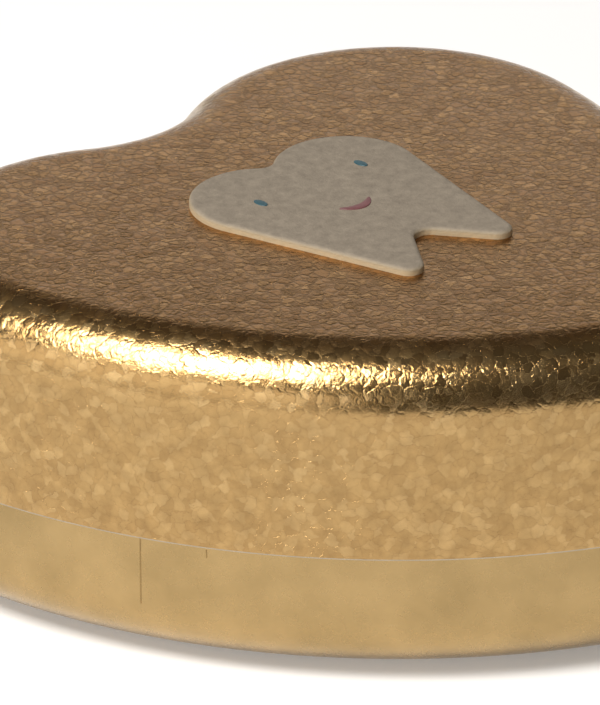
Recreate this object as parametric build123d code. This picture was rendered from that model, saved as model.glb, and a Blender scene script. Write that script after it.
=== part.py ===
from build123d import *
import math
import os

# Heart-shaped musical keepsake tin. Millimetres, +Z up, origin under the middle of the box on the table.

# Box: the heart is drawn with arcs, the lobes side by side along X and the tip towards -Y.
BOX_WIDTH = 100.0          # across both lobes of the lid
LOBE_CENTRE = 22.0         # lobe centre from the line of symmetry
CLEFT_R = 16.5             # hollow between the lobes
SIDE_R = 81.6              # long flat curve from lobe to tip
TIP_R = 12.3
TIP_REACH = 65.0           # tip from the line of lobe centres
BOX_HEIGHT = 41.6          # table to lid top
SHEET = 0.5                # tinplate
PAD_HEIGHT = 1.0
PAD_R = 4.5
PAD_OUT = 5.0              # pad outside the lobe centre
PAD_UP = 8.5               # and from it towards the cleft
PAD_FROM_TIP = 3.2         # third pad from the centre of the tip's curve
LID_EDGE_Z = 16.8          # lid's lower edge, lid on
LID_CORNER_R = 7.8
LID_CLEARANCE = 0.3        # lid skirt to base wall
BASE_CORNER_R = 7.2
RIM_RISE = 0.6             # base rim above where the lid's shoulder starts
TRAY_WALL = 0.8
TRAY_DEPTH = 4.8           # tray floor under the base rim
TRAY_FLOOR_R = 1.5
TRAY_FIT = 0.1
TRAY_LIP = 0.6
TRAY_LIP_FIT = 0.15        # tray lip in from the base wall's outside
TRAY_GAP = 1.3             # tray floor above the governor's cock

# Tooth ornament, drawn from the line of symmetry: crown towards the cleft.
TOOTH_X = -0.4             # ornament sits a little to the left
TOOTH_THICK = 1.0
TOOTH_EDGE_R = 0.4
TOOTH_LOBE_R = 8.7
TOOTH_LOBE_X = 6.8
TOOTH_LOBE_Y = -7.2        # from the line of the heart's lobe centres
TOOTH_ROOT_R = 1.8
TOOTH_ROOT_X = 7.25
TOOTH_ROOT_Y = -31.85
TOOTH_FORK_R = 0.9
TOOTH_FORK_Y = -23.35
TOOTH_NOTCH_R = 2.0
EYE_X = 8.2
EYE_Y = -8.25
EYE_SIZE = (0.6, 1.1)      # half width, half height
MOUTH_R = 2.75
MOUTH_BITE = 0.62          # share of its radius that the smile's upper curve is moved up
MOUTH_Y = -15.2
PAINT = 0.12               # thickness of the enamel on the tooth

# Movement, placed by its winding axis. It is drawn from that axis, cylinder along +X.
MOVE_X = -14.5
MOVE_Y = 1.5
WELL_R = 21.0              # key well under the base, inside
WELL_ROOF_Z = 9.0
WELL_EDGE = 1.2            # well wall to the screw heads
SCREW_ANGLES = (135, 245, 345)
TAB_ANGLE = 40             # stop tab, on the screws' circle
PLATE_THICK = 2.0
PLATE_X = (-14.5, 43.0)
PLATE_Y = (-27.0, 25.5)
PLATE_CORNER_R = 4.0
RUN_FIT = 0.05             # radial clearance of every running shaft
SEAT_GAP = 0.3             # end play beside turning pieces

ARBOR_R = 1.5
ARBOR_HOLE_GAP = 0.7       # arbor to the base's sheet
ARBOR_OVER = 1.6           # arbor's end above the drum
HUB_R = 3.0
CLIP_R = 3.2
CLIP_Z = (0.2, 0.8)        # above the drum
CLIP_SLOT = 1.6
CLUTCH_WIRE = 0.45
CLUTCH_COILS = 2
CLUTCH_GAP = 0.08
CLUTCH_HOOK = 3.0
DRUM_R = 11.0
DRUM_WALL = 0.6
DRUM_Z = 13.2
DRUM_HEIGHT = 10.0
COVER_HOLE_R = 1.4
SPRING_STRIP = 0.28
SPRING_TURNS = 7
SPRING_STEPS = 16          # straight runs in each turn
SPRING_GAP = 0.5           # mainspring to the drum's floor and cover
KEY_SPAN = 28.0
KEY_STEM_R = 3.5
KEY_Z = 1.8
KEY_BOW_HEIGHT = 5.4
KEY_BOW_THICK = 1.6

CROWN_MODULE = 0.6
CROWN_TEETH = 42
CROWN_FACE = 1.7
PINION_TEETH = 12
PINION_FACE = 1.0
TRAIN_MODULE = 0.4
WHEEL_TEETH = 36
GOV_PINION_TEETH = 10
WORM_WHEEL_TEETH = 24
WHEEL_FACE = 1.2
WORM_R = 1.8               # pitch radius
CROWN_BACKLASH = 0.14      # taken from each flank of each tooth
TRAIN_BACKLASH = 0.08
PRESSURE_ANGLE = math.radians(25)
ADDENDUM = 0.8
DEDENDUM = 1.15

CYLINDER_X = (16.0, 34.0)
CYLINDER_R = 6.5
PIN_R = 0.2
PIN_STAND = 0.9
PIN_SINK = 0.4             # pin's root inside the barrel
PINS_PER_NOTE = 4
BARREL_WALL = 0.5
BARREL_END = 1.0
CYLINDER_ARBOR_R = 1.0
GOV_ARBOR_R = 0.7
PIVOT_R = 0.5
NOTES = 18
COMB_GAP = 0.15            # comb tip to pin circle
COMB_THICK = 0.8
COMB_SLOT = 0.2
COMB_BACK_Y = -25.0
COMB_BASE_Y = (-26.0, -17.5)
COMB_ROOT_Y = (-15.8, -12.6)   # tooth roots, from the lowest note to the highest
COMB_SCREW_Y = -21.5
COMB_SCREW_IN = 3.5
COMB_SCREW_REACH = 4.0
FLY_R = 5.0
FLY_THICK = 0.3
FLY_HEIGHT = 3.6
FLY_HUB_HEIGHT = 4.2
FLY_HUB_WALL = 0.7
BRAKE_R = 3.0
BRAKE_THICK = 1.0
BEARING_R = 1.8
BEARING_HEIGHT = 1.4
LEVER_THICK = 0.8
LEVER_WIDTH = 2.4
LEVER_LIFT = 0.2           # lever above the bedplate
LEVER_REACH = 11.2         # pivot to brake pad
LEVER_STOPPED = -0.57      # the pad's direction from the pivot when stopped, degrees
LEVER_SWING = 8.0          # degrees from playing to stopped
LEVER_FROM_WORM = (14.6, 1.8)  # pivot from the worm, to -X and -Y
BRAKE_PAD_R = 0.8
BRAKE_PAD_TOP = 2.7        # above the bedplate
STUD_R = 1.0
STUD_HEAD_R = 1.8
STUD_HEAD = 0.8
TAB_R = 1.0
TAB_RISE = 1.6             # tab's finger end above the key's lower end
SLOT_GAP = 0.35
SCREW_R = 1.25
SCREW_HEAD_R = 1.9
SCREW_HEAD = 1.1
FRAME_FOOT = 4.0
FRAME_SHEET = 1.2
FRAME_CORNER_R = 2.5
POST_HALF = 3.5
POST_OVER = 2.8            # cylinder post above the cylinder's axis
COCK_SHEET = 0.7
COCK_HALF = 2.2
COCK_FOOT = 3.2            # foot's depth along Y
COCK_SIDE = 8.0            # foot's end from the worm, to -X

# Worked out from the above.
LOBE_R = BOX_WIDTH / 2 - LOBE_CENTRE
HEART_Y = (TIP_REACH - LOBE_R) / 2
BASE_RIM_Z = BOX_HEIGHT - LID_CORNER_R + RIM_RISE
TRAY_FLOOR_Z = BASE_RIM_Z - TRAY_DEPTH
COCK_Z = TRAY_FLOOR_Z - TRAY_GAP
PLATE_Z = WELL_ROOF_Z + SHEET
PLATE_TOP = PLATE_Z + PLATE_THICK
BASE_IN = SHEET + LID_CLEARANCE
CROWN_R = CROWN_MODULE * CROWN_TEETH / 2
PINION_R = CROWN_MODULE * PINION_TEETH / 2
CROWN_PITCH_Z = 16.2
AXIS_Z = CROWN_PITCH_Z + PINION_R
WHEEL_R = TRAIN_MODULE * WHEEL_TEETH / 2
GOV_PINION_R = TRAIN_MODULE * GOV_PINION_TEETH / 2
WORM_WHEEL_R = TRAIN_MODULE * WORM_WHEEL_TEETH / 2
GOV_Y = WHEEL_R + GOV_PINION_R
WORM_Y = GOV_Y + WORM_WHEEL_R + WORM_R
WHEEL_X = CYLINDER_X[1] + 1.0
WORM_X = WHEEL_X + WHEEL_FACE + 2.4
FRAME_X = WORM_X + 1.8
PIN_CIRCLE = CYLINDER_R + PIN_STAND
DRUM_TOP = DRUM_Z + DRUM_HEIGHT
SCREW_RING_R = WELL_R - SCREW_HEAD_R - WELL_EDGE
LEVER_PIVOT = (WORM_X - LEVER_FROM_WORM[0], WORM_Y - LEVER_FROM_WORM[1])

os.makedirs("parts", exist_ok=True)
made = {}


def polar(centre, radius, degrees):
    """Point at an angle on a circle."""
    a = math.radians(degrees)
    return (centre[0] + radius * math.cos(a), centre[1] + radius * math.sin(a))


def arc(centre, radius, start, end):
    """Arc from one angle to another, in degrees, turning the short way between them."""
    return ThreePointArc(
        polar(centre, radius, start), polar(centre, radius, (start + end) / 2), polar(centre, radius, end)
    )


def heart(inset=0.0):
    """Heart face, set in from the lid's outside by the same amount all round."""
    lobe = (LOBE_CENTRE, 0.0)
    cleft = (0.0, math.sqrt((LOBE_R + CLEFT_R) ** 2 - LOBE_CENTRE**2))
    tip = (0.0, TIP_R - TIP_REACH)
    # The side arc's centre is where circles about the lobe and tip centres meet, across the box.
    from_lobe, from_tip = SIDE_R - LOBE_R, SIDE_R - TIP_R
    span = math.dist(lobe, tip)
    along = (from_lobe**2 - from_tip**2 + span**2) / (2 * span)
    off = math.sqrt(from_lobe**2 - along**2)
    ux, uy = (tip[0] - lobe[0]) / span, (tip[1] - lobe[1]) / span
    side = (lobe[0] + along * ux + off * uy, lobe[1] + along * uy - off * ux)
    at_side_top = math.degrees(math.atan2(lobe[1] - side[1], lobe[0] - side[0]))
    at_side_low = math.degrees(math.atan2(tip[1] - side[1], tip[0] - side[0]))
    at_cleft = math.degrees(math.atan2(cleft[1], cleft[0] - lobe[0]))
    right = [
        arc(lobe, LOBE_R - inset, at_cleft, at_side_top),
        arc(side, SIDE_R - inset, at_side_top, at_side_low),
    ]
    left = [edge.mirror(Plane.YZ) for edge in right]
    hollow = arc(cleft, CLEFT_R + inset, at_cleft - 180, -at_cleft)
    point = arc(tip, TIP_R - inset, at_side_low, -180 - at_side_low)
    face = make_face([*right, *left, hollow, point])
    return Pos(0, HEART_Y, 0) * face


def lift(shape, z):
    return Pos(0, 0, z) * shape


def block(x, y, z):
    """Box between three pairs of limits."""
    size = [abs(pair[1] - pair[0]) for pair in (x, y, z)]
    middle = [(pair[0] + pair[1]) / 2 for pair in (x, y, z)]
    return Pos(*middle) * Box(*size)


def rod(x, y, z, radius):
    """Upright cylinder between two heights."""
    return Pos(x, y, (z[0] + z[1]) / 2) * Cylinder(radius, z[1] - z[0])


def cross_rod(x, y, z, radius):
    """Cylinder along X between two ends."""
    return Pos((x[0] + x[1]) / 2, y, z) * Rot(0, 90, 0) * Cylinder(radius, x[1] - x[0])


def screw(x, y, under_head, reach, up):
    """Slotted cheese-head screw along Z; up says which way its shank points."""
    way = 1 if up else -1
    head = rod(x, y, sorted((under_head, under_head - way * SCREW_HEAD)), SCREW_HEAD_R)
    shank = rod(x, y, sorted((under_head, under_head + way * reach)), SCREW_R)
    mouth = under_head - way * SCREW_HEAD
    slot = Pos(x, y, mouth) * Box(2 * SCREW_HEAD_R + 1, 0.5, SCREW_HEAD)
    return head + shank - slot


def gear(teeth, module, face, backlash):
    """Spur gear about Z with involute flanks drawn as short runs, base at z = 0."""
    pitch = module * teeth / 2
    base = pitch * math.cos(PRESSURE_ANGLE)
    tip = pitch + ADDENDUM * module
    root = pitch - DEDENDUM * module
    half = (math.pi * module / 2 - 2 * backlash) / (2 * pitch)
    unwind = math.tan(PRESSURE_ANGLE) - PRESSURE_ANGLE
    flank = [(root, half + unwind)] if root < base else []
    start = max(base, root)
    for step in range(4):
        r = start + (tip - start) * step / 3
        at = math.acos(min(1.0, base / r))
        flank.append((r, half + unwind - (math.tan(at) - at)))
    points = []
    for n in range(teeth):
        mid = 2 * math.pi * n / teeth
        for r, a in flank:
            points.append((r * math.cos(mid - a), r * math.sin(mid - a)))
        for r, a in reversed(flank):
            points.append((r * math.cos(mid + a), r * math.sin(mid + a)))
    return extrude(make_face(Polyline(*points, close=True)), face)


def upright(shape):
    """Lay a piece drawn about Z along +X."""
    return Rot(0, 90, 0) * shape


def save(name, shape, in_movement=True):
    """Place a piece, give it its name and write its file."""
    placed = Pos(MOVE_X, MOVE_Y, 0) * shape if in_movement else shape
    placed.label = name
    made[name] = placed
    export_step(placed, f"parts/{name}.step")


def top_edges(solid):
    return solid.faces().sort_by(Axis.Z)[-1].edges()


def low_edges(solid):
    return solid.faces().sort_by(Axis.Z)[0].edges()


# Lid: one drawn shell with a rolled shoulder.
def make_lid():
    outer = extrude(lift(heart(), LID_EDGE_Z), BOX_HEIGHT - LID_EDGE_Z)
    outer = fillet(top_edges(outer), LID_CORNER_R)
    inner = extrude(lift(heart(SHEET), LID_EDGE_Z - 1), BOX_HEIGHT - SHEET - LID_EDGE_Z + 1)
    inner = fillet(top_edges(inner), LID_CORNER_R - SHEET)
    save("lid_shell", outer - inner, False)


def tooth_face():
    """Molar outline: two crown lobes, two roots and the fork between them."""
    fork = Pos(0, TOOTH_FORK_Y) * Circle(TOOTH_FORK_R)
    face = Sketch()
    for side in (-1, 1):
        lobe = Pos(side * TOOTH_LOBE_X, TOOTH_LOBE_Y) * Circle(TOOTH_LOBE_R)
        root = Pos(side * TOOTH_ROOT_X, TOOTH_ROOT_Y) * Circle(TOOTH_ROOT_R)
        face += make_hull([*lobe.edges(), *root.edges()])
        face += make_hull([*fork.edges(), *root.edges()])
    # Swelling the outline and shrinking it back rounds the two notches and leaves the rest.
    return offset(offset(face, TOOTH_NOTCH_R), -TOOTH_NOTCH_R)


def make_tooth():
    tooth = extrude(lift(Pos(TOOTH_X, HEART_Y) * tooth_face(), BOX_HEIGHT), TOOTH_THICK)
    tooth = fillet(top_edges(tooth), TOOTH_EDGE_R)
    save("tooth_ornament", tooth, False)
    top = BOX_HEIGHT + TOOTH_THICK
    eyes = [Pos(TOOTH_X + side * EYE_X, HEART_Y + EYE_Y, top) * Ellipse(*EYE_SIZE) for side in (-1, 1)]
    save("tooth_eyes", Compound([extrude(eye, PAINT) for eye in eyes]), False)
    smile = Circle(MOUTH_R) - Pos(0, MOUTH_R * MOUTH_BITE) * Circle(MOUTH_R)
    save("tooth_mouth", extrude(Pos(TOOTH_X, HEART_Y + MOUTH_Y, top) * smile, PAINT), False)


# Base: drawn pan with a round bottom edge and a well for the winding key.
def make_base():
    outer = extrude(lift(heart(BASE_IN), PAD_HEIGHT), BASE_RIM_Z - PAD_HEIGHT)
    outer = fillet(low_edges(outer), BASE_CORNER_R)
    inner = extrude(lift(heart(BASE_IN + SHEET), PAD_HEIGHT + SHEET), BASE_RIM_Z)
    inner = fillet(low_edges(inner), BASE_CORNER_R - SHEET)
    shell = outer - inner
    shell += rod(MOVE_X, MOVE_Y, (PAD_HEIGHT, PLATE_Z), WELL_R + SHEET)
    shell -= rod(MOVE_X, MOVE_Y, (PAD_HEIGHT - 1, WELL_ROOF_Z), WELL_R)
    for x, y in screw_places():
        shell -= rod(MOVE_X + x, MOVE_Y + y, (0, PLATE_TOP), SCREW_R)
    shell -= rod(MOVE_X, MOVE_Y, (0, PLATE_TOP), ARBOR_R + ARBOR_HOLE_GAP)
    shell -= Pos(MOVE_X, MOVE_Y, 0) * tab_slot()
    save("base_shell", shell, False)
    lobe_pads = [(side * (LOBE_CENTRE + PAD_OUT), HEART_Y + PAD_UP) for side in (-1, 1)]
    tip_pad = (0, HEART_Y - TIP_REACH + TIP_R + PAD_FROM_TIP)
    pads = [rod(x, y, (0, PAD_HEIGHT), PAD_R) for x, y in [*lobe_pads, tip_pad]]
    save("foot_pads", Compound(pads), False)


def screw_places():
    return [polar((0, 0), SCREW_RING_R, angle) for angle in SCREW_ANGLES]


# Tray: flocked insert that hides the movement and hangs by its lip on the base rim.
def make_tray():
    side = BASE_IN + SHEET + TRAY_FIT
    outer = extrude(lift(heart(side), TRAY_FLOOR_Z), BASE_RIM_Z + TRAY_LIP - TRAY_FLOOR_Z)
    outer += extrude(lift(heart(BASE_IN + TRAY_LIP_FIT), BASE_RIM_Z), TRAY_LIP)
    inner = extrude(lift(heart(side + TRAY_WALL), TRAY_FLOOR_Z + TRAY_WALL), BASE_RIM_Z)
    inner = fillet(low_edges(inner), TRAY_FLOOR_R)
    save("keepsake_tray", outer - inner, False)


# Winding key, arbor and the wrap spring that stops it running back.
def make_winder():
    arbor = rod(0, 0, (KEY_Z + 1.2, DRUM_TOP + ARBOR_OVER), ARBOR_R)
    arbor += rod(0, 0, (PLATE_TOP + 0.1, DRUM_Z - 0.2), HUB_R)
    save("winding_arbor", arbor)
    stem = rod(0, 0, (KEY_Z, WELL_ROOF_Z - SEAT_GAP), KEY_STEM_R)
    stem = chamfer(low_edges(stem), 0.6)
    save("key_stem", stem - arbor)
    half = KEY_SPAN / 2
    wing = Pos(half * 0.6, 0, 0) * Ellipse(half * 0.4, KEY_BOW_HEIGHT / 2)
    wing += Pos(half * 0.35, 0, 0) * Rectangle(half * 0.5, KEY_BOW_HEIGHT * 0.55)
    wing -= Pos(half * 0.68, 0, 0) * Ellipse(half * 0.18, KEY_BOW_HEIGHT * 0.24)
    plate = extrude(Rot(90, 0, 0) * (wing + wing.mirror(Plane.YZ)), KEY_BOW_THICK / 2, both=True)
    plate = Pos(0, 0, KEY_Z + KEY_BOW_HEIGHT / 2) * plate
    save("key_bow", plate - rod(0, 0, (0, WELL_ROOF_Z), KEY_STEM_R))
    clip = rod(0, 0, [DRUM_TOP + z for z in CLIP_Z], CLIP_R) - rod(0, 0, (0, BOX_HEIGHT), ARBOR_R)
    mouth = block((0, CLIP_R + 1), (-CLIP_SLOT / 2, CLIP_SLOT / 2), (DRUM_TOP, DRUM_TOP + 1))
    save("arbor_clip", clip - mouth)
    radius = HUB_R + CLUTCH_WIRE / 2 + CLUTCH_GAP
    spring = block((radius, radius + CLUTCH_HOOK), (-0.5, 0.5), (PLATE_TOP, DRUM_Z - 0.5))
    spring -= rod(0, 0, (0, BOX_HEIGHT), radius)
    for n in range(CLUTCH_COILS):
        z = PLATE_TOP + 0.35 + n * (CLUTCH_WIRE + 0.05)
        spring += Pos(0, 0, z) * Torus(radius, CLUTCH_WIRE / 2)
    save("clutch_spring", spring)


# Spring drum with its crown wheel, cover and mainspring.
def make_drum():
    cup = rod(0, 0, (DRUM_Z, DRUM_TOP - DRUM_WALL), DRUM_R)
    cup -= rod(0, 0, (DRUM_Z + DRUM_WALL, DRUM_TOP), DRUM_R - DRUM_WALL)
    cup -= rod(0, 0, (0, BOX_HEIGHT), ARBOR_R + RUN_FIT)
    save("spring_drum", cup)
    cover = rod(0, 0, (DRUM_TOP - DRUM_WALL, DRUM_TOP), DRUM_R)
    cover -= rod(0, 0, (0, BOX_HEIGHT), ARBOR_R + RUN_FIT)
    for angle in (30, 150, 270):
        x, y = polar((0, 0), DRUM_R * 0.6, angle)
        cover -= rod(x, y, (DRUM_TOP - 1, DRUM_TOP + 1), COVER_HOLE_R)
    save("drum_cover", cover)
    root_z = CROWN_PITCH_Z - DEDENDUM * CROWN_MODULE
    outside = CROWN_R + CROWN_FACE / 2
    crown = rod(0, 0, (DRUM_Z, root_z), outside) - rod(0, 0, (0, BOX_HEIGHT), DRUM_R)
    slope = math.tan(PRESSURE_ANGLE)
    half = math.pi * CROWN_MODULE / 4 - CROWN_BACKLASH
    low = half + DEDENDUM * CROWN_MODULE * slope
    high = half - ADDENDUM * CROWN_MODULE * slope
    tip_z = CROWN_PITCH_Z + ADDENDUM * CROWN_MODULE
    profile = make_face(Polyline((-low, root_z), (low, root_z), (high, tip_z), (-high, tip_z), close=True))
    tooth = extrude(Plane.YZ.offset(CROWN_R - CROWN_FACE / 2) * profile, CROWN_FACE)
    crown += [Rot(0, 0, (n + 0.5) * 360 / CROWN_TEETH) * tooth for n in range(CROWN_TEETH)]
    save("crown_wheel", crown)
    inner, outer = ARBOR_R + 0.9, DRUM_R - DRUM_WALL - 0.4
    steps = SPRING_TURNS * SPRING_STEPS
    curve = [(inner + (outer - inner) * n / steps, n * 360 / SPRING_STEPS) for n in range(steps + 1)]
    line = [polar((0, 0), r - SPRING_STRIP / 2, a) for r, a in curve]
    line += [polar((0, 0), r + SPRING_STRIP / 2, a) for r, a in reversed(curve)]
    strip = make_face(Polyline(*line, close=True))
    deep = DRUM_HEIGHT - 2 * (DRUM_WALL + SPRING_GAP)
    save("mainspring", extrude(lift(strip, DRUM_Z + DRUM_WALL + SPRING_GAP), deep))


# Pinned cylinder on its arbor, with the pinion that the crown wheel turns.
def make_cylinder():
    arbor = cross_rod((CROWN_R - PINION_FACE / 2 - 0.2, FRAME_X + FRAME_SHEET), 0, AXIS_Z, CYLINDER_ARBOR_R)
    save("cylinder_arbor", arbor)
    barrel = cross_rod(CYLINDER_X, 0, AXIS_Z, CYLINDER_R)
    inside = (CYLINDER_X[0] + BARREL_END, CYLINDER_X[1] - BARREL_END)
    hollow = cross_rod(inside, 0, AXIS_Z, CYLINDER_R - BARREL_WALL)
    web = cross_rod(CYLINDER_X, 0, AXIS_Z, CYLINDER_ARBOR_R)
    save("cylinder_barrel", barrel - hollow - web)
    pins = []
    for note in range(NOTES):
        x = note_x(note)
        for beat in range(PINS_PER_NOTE):
            # No real tune: each note's pins stand about a quarter turn apart, unevenly.
            angle = (note * 137.5 + beat * 91.0 + (note * beat % 5) * 11.0) % 360
            middle = CYLINDER_R + (PIN_STAND - PIN_SINK) / 2
            pin = Pos(0, 0, middle) * Cylinder(PIN_R, PIN_STAND + PIN_SINK)
            pins.append(Pos(x, 0, AXIS_Z) * Rot(angle, 0, 0) * pin)
    save("cylinder_pins", Compound(pins))
    # Laid along +X, the pinion's first tooth points straight down, into the crown wheel's gap on +X.
    pinion = gear(PINION_TEETH, CROWN_MODULE, PINION_FACE, CROWN_BACKLASH) - Cylinder(CYLINDER_ARBOR_R, 9)
    save("drive_pinion", Pos(CROWN_R - PINION_FACE / 2, 0, AXIS_Z) * upright(pinion))
    # The wheel's first tooth points to +Y, towards the governor's pinion.
    wheel = gear(WHEEL_TEETH, TRAIN_MODULE, WHEEL_FACE, TRAIN_BACKLASH) - Cylinder(CYLINDER_ARBOR_R, 9)
    save("cylinder_wheel", Pos(WHEEL_X, 0, AXIS_Z) * upright(Rot(0, 0, 90) * wheel))


def note_x(note):
    pitch = (CYLINDER_X[1] - CYLINDER_X[0] - 1.0) / NOTES
    return CYLINDER_X[0] + 0.5 + (note + 0.5) * pitch


# Comb: one steel plate, its teeth longest at the low notes.
def make_comb():
    tip_y = -(PIN_CIRCLE + COMB_GAP)
    top = AXIS_Z + COMB_THICK / 2
    plate = block(CYLINDER_X, (COMB_BACK_Y, tip_y), (top - COMB_THICK, top))
    pitch = note_x(1) - note_x(0)
    for n in range(NOTES + 1):
        x = note_x(0) + (n - 0.5) * pitch
        root_y = COMB_ROOT_Y[0] + (COMB_ROOT_Y[1] - COMB_ROOT_Y[0]) * n / NOTES
        plate -= block((x - COMB_SLOT / 2, x + COMB_SLOT / 2), (root_y, tip_y + 1), (top - 2, top + 1))
    places = [(CYLINDER_X[0] + COMB_SCREW_IN, COMB_SCREW_Y), (CYLINDER_X[1] - COMB_SCREW_IN, COMB_SCREW_Y)]
    for x, y in places:
        plate -= rod(x, y, (0, BOX_HEIGHT), SCREW_R)
    save("comb", plate)
    seat = block(CYLINDER_X, COMB_BASE_Y, (PLATE_TOP, top - COMB_THICK))
    for x, y in places:
        seat -= rod(x, y, (top - COMB_THICK - COMB_SCREW_REACH, BOX_HEIGHT), SCREW_R)
    save("comb_base", seat)
    save("comb_screws", Compound([screw(x, y, top, COMB_SCREW_REACH, False) for x, y in places]))


# Governor: wheel and pinion, worm, brake disc and fly.
def make_governor():
    ends = (CYLINDER_X[1] - 1.4, FRAME_X + FRAME_SHEET)
    save("governor_arbor", cross_rod(ends, GOV_Y, AXIS_Z, GOV_ARBOR_R))
    pinion = gear(GOV_PINION_TEETH, TRAIN_MODULE, WHEEL_FACE + 0.4, TRAIN_BACKLASH) - Cylinder(GOV_ARBOR_R, 9)
    # The pinion has a gap towards -Y, where the cylinder wheel's tooth comes in.
    turn = 270 + 180 / GOV_PINION_TEETH
    save("governor_pinion", Pos(WHEEL_X - 0.2, GOV_Y, AXIS_Z) * upright(Rot(0, 0, turn) * pinion))
    wheel = gear(WORM_WHEEL_TEETH, TRAIN_MODULE, WHEEL_FACE, TRAIN_BACKLASH) - Cylinder(GOV_ARBOR_R, 9)
    save("worm_wheel", Pos(WORM_X - WHEEL_FACE / 2, GOV_Y, AXIS_Z) * upright(Rot(0, 0, 90) * wheel))
    core_r = WORM_R - DEDENDUM * TRAIN_MODULE
    core = rod(0, 0, (PLATE_TOP + BEARING_HEIGHT + SEAT_GAP, COCK_Z - 0.2), core_r)
    core += rod(0, 0, (PLATE_TOP + 0.4, COCK_Z + 0.6), PIVOT_R)
    save("worm", Pos(WORM_X, WORM_Y, 0) * core)
    save("worm_thread", Pos(WORM_X, WORM_Y, AXIS_Z) * worm_thread(core_r))
    core_hole = rod(0, 0, (0, BOX_HEIGHT), core_r)
    disc_z = PLATE_TOP + 1.8
    disc = rod(0, 0, (disc_z, disc_z + BRAKE_THICK), BRAKE_R)
    save("brake_disc", Pos(WORM_X, WORM_Y, 0) * (disc - core_hole))
    hub_r, hub_top = core_r + FLY_HUB_WALL, COCK_Z - 0.4
    hub = rod(0, 0, (hub_top - FLY_HUB_HEIGHT, hub_top), hub_r)
    save("fly_hub", Pos(WORM_X, WORM_Y, 0) * (hub - core_hole))
    wing_top = hub_top - 0.2
    wings = block((-FLY_R, FLY_R), (-FLY_THICK / 2, FLY_THICK / 2), (wing_top - FLY_HEIGHT, wing_top))
    wings -= rod(0, 0, (0, BOX_HEIGHT), hub_r)
    save("fly_wings", Pos(WORM_X, WORM_Y, 0) * wings)


def worm_thread(core_r):
    """Single-start thread, centred on the wheel, with a gap where the wheel's tooth comes in."""
    lead = math.pi * TRAIN_MODULE
    turns = 4
    slope = math.tan(PRESSURE_ANGLE)
    half = lead / 4 - TRAIN_BACKLASH
    sink = 0.05
    low = half + (DEDENDUM * TRAIN_MODULE + sink) * slope
    high = half - ADDENDUM * TRAIN_MODULE * slope
    inner, outer = core_r - sink, WORM_R + ADDENDUM * TRAIN_MODULE
    path = Helix(lead, lead * turns, core_r)
    profile = Polyline((inner, -low), (outer, -high), (outer, high), (inner, low), close=True)
    section = Plane.XZ * make_face(profile)
    thread = sweep(section, path=path, is_frenet=True)
    cut = Cylinder(core_r, 4 * lead * turns)
    # The gap faces the wheel, which lies towards -Y.
    return Pos(0, 0, -lead * turns / 2) * Rot(0, 0, 90) * (thread - cut)


# Frame: bedplate, posts, cock and their screws.
def tab_slot():
    """Slot in plate and well roof for the stop lever's finger tab, long enough for its swing."""
    start = tab_place()
    angle = math.degrees(math.atan2(start[1] - LEVER_PIVOT[1], start[0] - LEVER_PIVOT[0]))
    end = polar(LEVER_PIVOT, math.dist(LEVER_PIVOT, start), angle + LEVER_SWING)
    room = TAB_R + SLOT_GAP
    x, y = (sorted(pair) for pair in zip(start, end))
    return block((x[0] - room, x[1] + room), (y[0] - room, y[1] + room), (0, PLATE_TOP + 1))


def tab_place():
    return polar((0, 0), SCREW_RING_R, TAB_ANGLE)


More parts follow.
